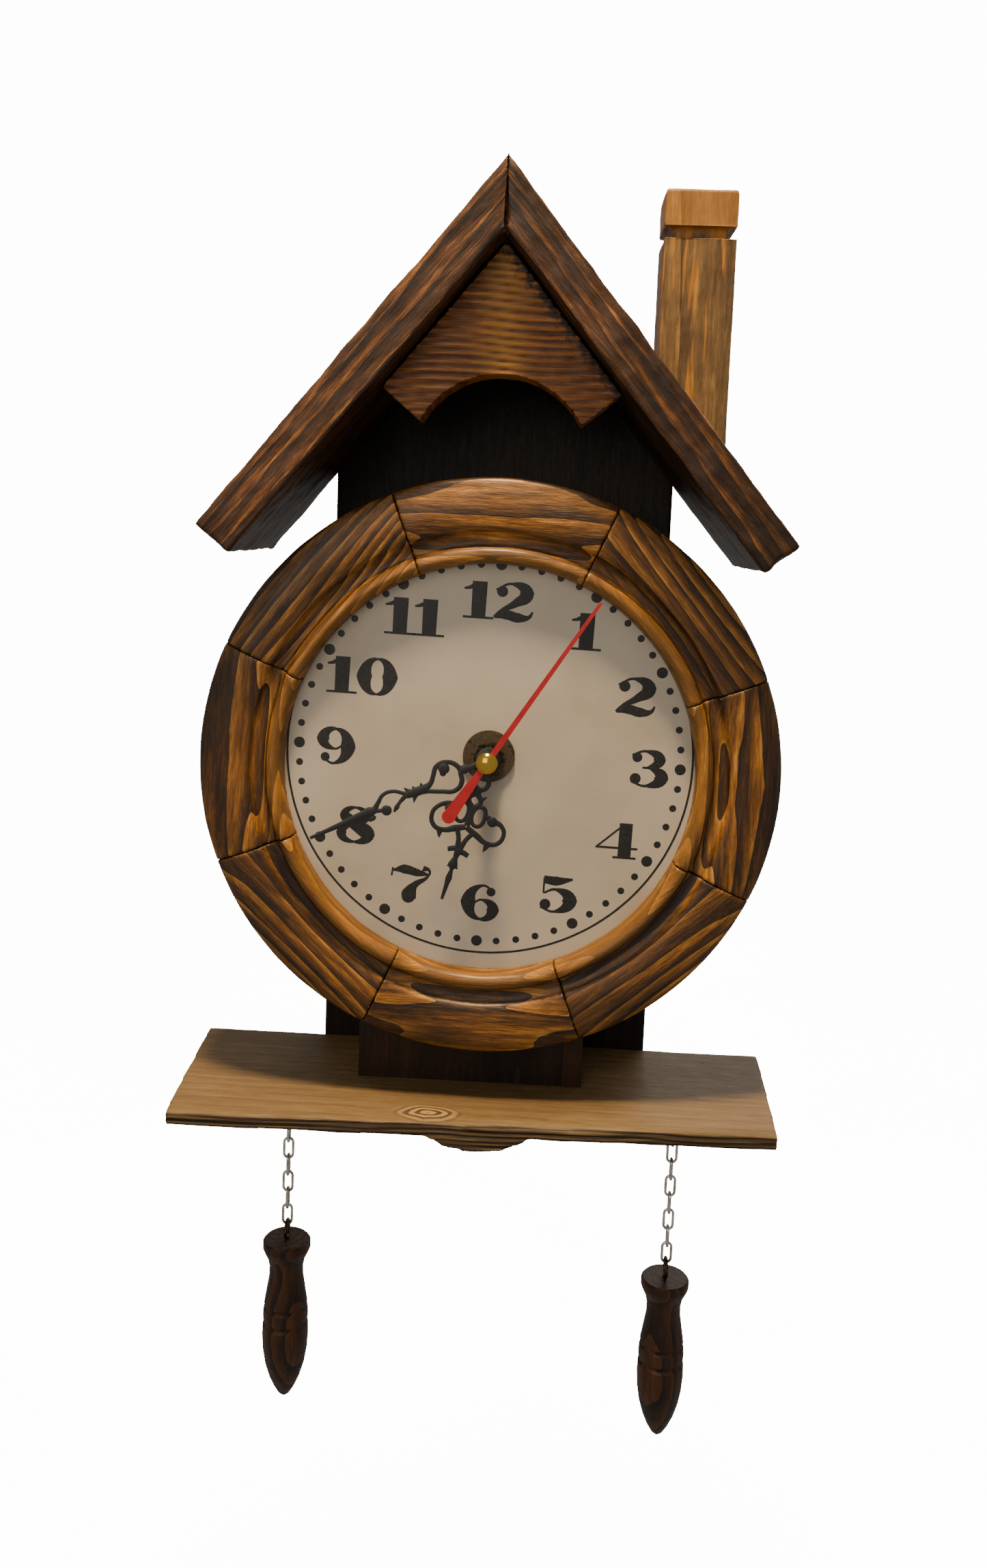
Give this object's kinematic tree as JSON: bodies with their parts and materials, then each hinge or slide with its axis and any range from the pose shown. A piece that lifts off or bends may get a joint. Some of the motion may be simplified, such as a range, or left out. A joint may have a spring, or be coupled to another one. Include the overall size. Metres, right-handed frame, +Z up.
{
  "type": "wall clock",
  "caption": "House-shaped rustic wooden wall clock: mitred ring around a printed dial with ornate hands, gabled roof, chimney, shelf, and turned weights hung on chains",
  "frame": {"origin": "centre of the hanging hole in the steel hanger plate, on the wall plane", "axes": "+Z up, -Y out of the wall towards the viewer, +X to the right seen from the front"},
  "size_m": [0.2302, 0.089, 0.4798],
  "materials": {
    "scorched_pine": "dark stain over scorched pine, satin",
    "roof_pine": "scorched and varnished pine with orange bands",
    "brushed_pine": "wire-brushed scorched pine, varnished",
    "plain_pine": "lightly stained pine, matt",
    "ring_pine": "scorched honey-coloured pine, varnished",
    "dowel_beech": "bare",
    "shelf_wood": "grey-brown stained live-edge board",
    "turned_wood": "turned, dark stain, gloss varnish",
    "dial_paper": "printed, matt",
    "dial_board": "hardboard, bare",
    "screw_steel": "zinc plated",
    "plated_steel": "plated, slightly tarnished",
    "dark_nut": "blackened",
    "chain_steel": "nickel plated",
    "bronze_wire": "darkened bronze finish",
    "brass": "polished",
    "black_hand": "satin black",
    "red_hand": "gloss red",
    "black_plastic": "moulded, fine texture",
    "white_plastic": "moulded",
    "magnet": "sintered magnet on a moulded pinion",
    "copper_coil": "enamelled copper wire",
    "board_green": "lacquered circuit board",
    "battery_foil": "plain printed sleeve"
  },
  "bodies": {
    "clock_body": {"back_panel": "scorched_pine", "spine_block": "scorched_pine", "roof_board_left": "roof_pine", "roof_board_right": "roof_pine", "gable_board": "brushed_pine", "chimney": "plain_pine", "chimney_dowel": "dowel_beech", "ring_segment_1": "ring_pine", "ring_segment_2": "ring_pine", "ring_segment_3": "ring_pine", "ring_segment_4": "ring_pine", "ring_segment_5": "ring_pine", "ring_segment_6": "ring_pine", "ring_segment_7": "ring_pine", "ring_segment_8": "ring_pine", "ring_dowels": "dowel_beech", "dial_board": "dial_board", "dial_paper": "dial_paper", "shelf": "shelf_wood", "shelf_screws": "screw_steel", "panel_screws": "screw_steel", "hanger_screws": "screw_steel", "hanger_plate": "plated_steel", "movement_case": "black_plastic", "case_cover": "black_plastic", "bridge_plate": "white_plastic", "dial_washer": "plated_steel", "bush_nut": "dark_nut", "stator": "plated_steel", "coil": "copper_coil", "circuit_board": "board_green", "battery": "battery_foil", "negative_contact": "plated_steel", "positive_contact": "plated_steel", "chain_hook_left": "chain_steel", "chain_hook_right": "chain_steel"},
    "hour_group": {"hour_hand": "black_hand", "hour_wheel": "white_plastic"},
    "minute_group": {"minute_hand": "black_hand", "centre_wheel": "white_plastic"},
    "second_group": {"second_hand": "red_hand", "second_hand_cap": "brass", "second_wheel": "white_plastic"},
    "third_group": {"third_wheel": "white_plastic"},
    "motion_group": {"motion_wheel": "white_plastic", "setting_knob": "black_plastic"},
    "reduction_group": {"reduction_wheel": "white_plastic"},
    "rotor_group": {"rotor": "magnet"},
    "left_top_link": {"top_link_left": "chain_steel"},
    "left_chain": {"chain_links_left": "chain_steel"},
    "left_weight": {"weight_left": "turned_wood", "weight_eye_left": "bronze_wire"},
    "right_top_link": {"top_link_right": "chain_steel"},
    "right_chain": {"chain_links_right": "chain_steel"},
    "right_weight": {"weight_right": "turned_wood", "weight_eye_right": "bronze_wire"}
  },
  "joints": [
    {"name": "minute_turn", "type": "hinge", "parent": "clock_body", "child": "minute_group", "pos_m": [0, -0.055, -0.12], "axis": [0, 1, 0], "continuous": true},
    {"name": "hour_turn", "type": "hinge", "parent": "clock_body", "child": "hour_group", "pos_m": [0, -0.055, -0.12], "axis": [0, 1, 0], "continuous": true},
    {"name": "second_turn", "type": "hinge", "parent": "clock_body", "child": "second_group", "pos_m": [0, -0.055, -0.12], "axis": [0, 1, 0], "continuous": true},
    {"name": "third_wheel_turn", "type": "hinge", "parent": "clock_body", "child": "third_group", "pos_m": [-0.00636, -0.055, -0.11364], "axis": [0, 1, 0], "continuous": true},
    {"name": "motion_wheel_turn", "type": "hinge", "parent": "clock_body", "child": "motion_group", "pos_m": [0.00779, -0.055, -0.1155], "axis": [0, 1, 0], "continuous": true},
    {"name": "rotor_turn", "type": "hinge", "parent": "clock_body", "child": "rotor_group", "pos_m": [0.01324, -0.055, -0.1236], "axis": [0, 1, 0], "continuous": true},
    {"name": "reduction_wheel_turn", "type": "hinge", "parent": "clock_body", "child": "reduction_group", "pos_m": [0.00624, -0.055, -0.1236], "axis": [0, 1, 0], "continuous": true},
    {"name": "left_hook_swing", "type": "hinge", "parent": "clock_body", "child": "left_top_link", "pos_m": [-0.073, -0.052, -0.2608], "axis": [1, 0, 0], "range_deg": [-30, 20]},
    {"name": "left_link_sway", "type": "hinge", "parent": "left_top_link", "child": "left_chain", "pos_m": [-0.073, -0.052, -0.26904], "axis": [0, 1, 0], "range_deg": [-30, 30]},
    {"name": "left_weight_sway", "type": "hinge", "parent": "left_chain", "child": "left_weight", "pos_m": [-0.073, -0.052, -0.31008], "axis": [0, 1, 0], "range_deg": [-30, 30]},
    {"name": "right_hook_sway", "type": "hinge", "parent": "clock_body", "child": "right_top_link", "pos_m": [0.076, -0.052, -0.2608], "axis": [0, 1, 0], "range_deg": [-30, 30]},
    {"name": "right_link_swing", "type": "hinge", "parent": "right_top_link", "child": "right_chain", "pos_m": [0.076, -0.052, -0.26904], "axis": [1, 0, 0], "range_deg": [-30, 20]},
    {"name": "right_weight_sway", "type": "hinge", "parent": "right_chain", "child": "right_weight", "pos_m": [0.076, -0.052, -0.31692], "axis": [0, 1, 0], "range_deg": [-30, 30]}
  ],
  "couplings": [
    {"joint": "hour_turn", "follows": "minute_turn", "ratio": 0.083333},
    {"joint": "second_turn", "follows": "minute_turn", "ratio": 60},
    {"joint": "third_wheel_turn", "follows": "minute_turn", "ratio": -8},
    {"joint": "motion_wheel_turn", "follows": "minute_turn", "ratio": -0.33333},
    {"joint": "reduction_wheel_turn", "follows": "rotor_turn", "ratio": -0.16667}
  ]
}
